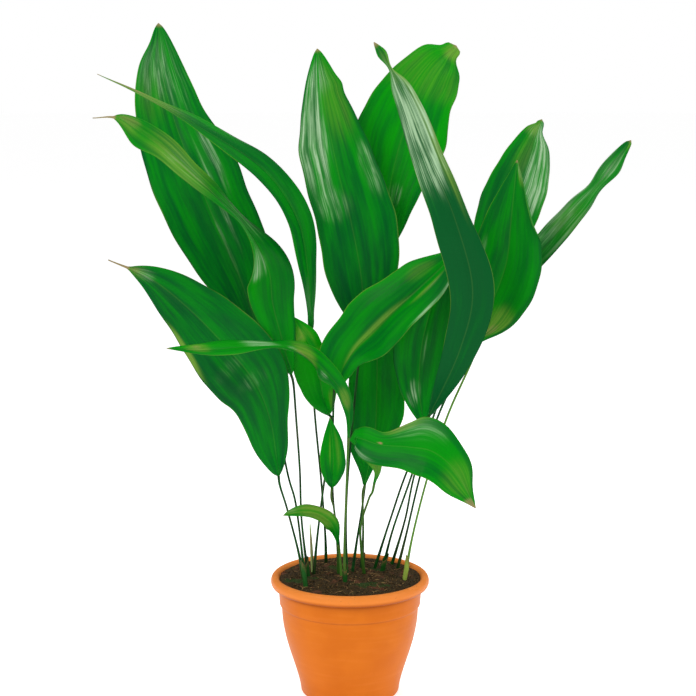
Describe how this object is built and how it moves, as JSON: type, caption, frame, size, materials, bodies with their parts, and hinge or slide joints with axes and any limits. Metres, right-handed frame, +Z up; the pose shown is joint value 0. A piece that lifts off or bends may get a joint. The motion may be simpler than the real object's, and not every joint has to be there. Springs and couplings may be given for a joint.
{
  "type": "potted cast iron plant",
  "caption": "Cast iron plant with broad arching leaves on thin stalks, rooted in compost in a bell-shaped terracotta-coloured plastic pot.",
  "frame": {"origin": "centre of the pot's flat underside", "axes": "+Z up the pot's axis; the front of the plant, where its lowest leaves reach forward, faces -Y; +X to the right of someone who faces the front"},
  "size_m": [0.6489, 0.3632, 0.8433],
  "materials": {
    "pot_plastic": "satin",
    "compost": "matte",
    "rootstock": "matte",
    "stalk": "satin",
    "sheath": "matte",
    "leaf": "satin",
    "young_leaf": "satin",
    "shoot": "satin"
  },
  "bodies": {
    "root": {"pot": "pot_plastic", "soil": "compost", "rhizome_left": "rootstock", "rhizome_middle": "rootstock", "rhizome_inner": "rootstock", "rhizome_right": "rootstock", "stalk_tall_left": "stalk", "blade_tall_left": "leaf", "sheath_tall_left": "sheath", "stalk_upper_left": "stalk", "blade_upper_left": "leaf", "stalk_left_arching": "stalk", "blade_left_arching": "leaf", "sheath_left_arching": "sheath", "stalk_low_left": "stalk", "blade_low_left": "leaf", "stalk_pale_inner": "stalk", "blade_pale_inner": "young_leaf", "stalk_front_level": "stalk", "blade_front_level": "leaf", "sheath_front_level": "sheath", "stalk_centre_tall": "stalk", "blade_centre_tall": "leaf", "stalk_back_broad": "stalk", "blade_back_broad": "leaf", "stalk_upright_inner": "stalk", "blade_upright_inner": "leaf", "sheath_upright_inner": "sheath", "stalk_front_centre": "stalk", "blade_front_centre": "leaf", "stalk_small_upright": "stalk", "blade_small_upright": "young_leaf", "stalk_small_low": "stalk", "blade_small_low": "young_leaf", "stalk_front_drooping": "stalk", "blade_front_drooping": "leaf", "stalk_striped_inner": "stalk", "blade_striped_inner": "leaf", "stalk_long_twisted": "stalk", "blade_long_twisted": "leaf", "sheath_long_twisted": "sheath", "stalk_right_broad": "stalk", "blade_right_broad": "leaf", "stalk_upper_right": "stalk", "blade_upper_right": "leaf", "stalk_far_right": "stalk", "blade_far_right": "leaf", "sheath_far_right": "sheath", "young_shoot": "shoot"}
  },
  "joints": []
}
